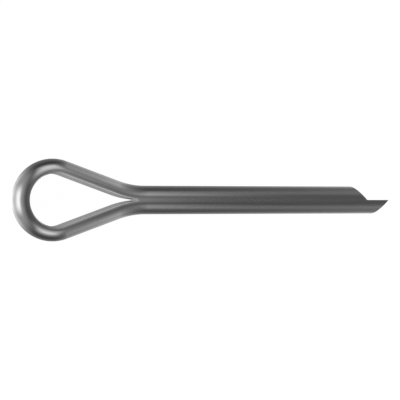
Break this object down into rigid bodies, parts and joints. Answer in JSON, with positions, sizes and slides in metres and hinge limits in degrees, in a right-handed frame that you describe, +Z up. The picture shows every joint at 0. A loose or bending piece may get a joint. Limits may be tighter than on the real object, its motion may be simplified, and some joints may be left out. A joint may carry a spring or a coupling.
{
  "type": "cotter pin",
  "caption": "Cotter pin folded from half-round steel wire, with a teardrop eye and mitred prongs of unequal length.",
  "frame": {"origin": "on the axis of the shank, where the flats of the prongs come together below the eye", "axes": "+X along the shank from the eye to the points, +Y from the long prong to the short one, +Z up through the eye's opening"},
  "size_m": [0.0422, 0.0084, 0.003],
  "materials": {
    "steel": "plain drawn steel wire, satin, with fine drawing marks along its length"
  },
  "bodies": {
    "root": {"cotter_pin": "steel"}
  },
  "joints": []
}
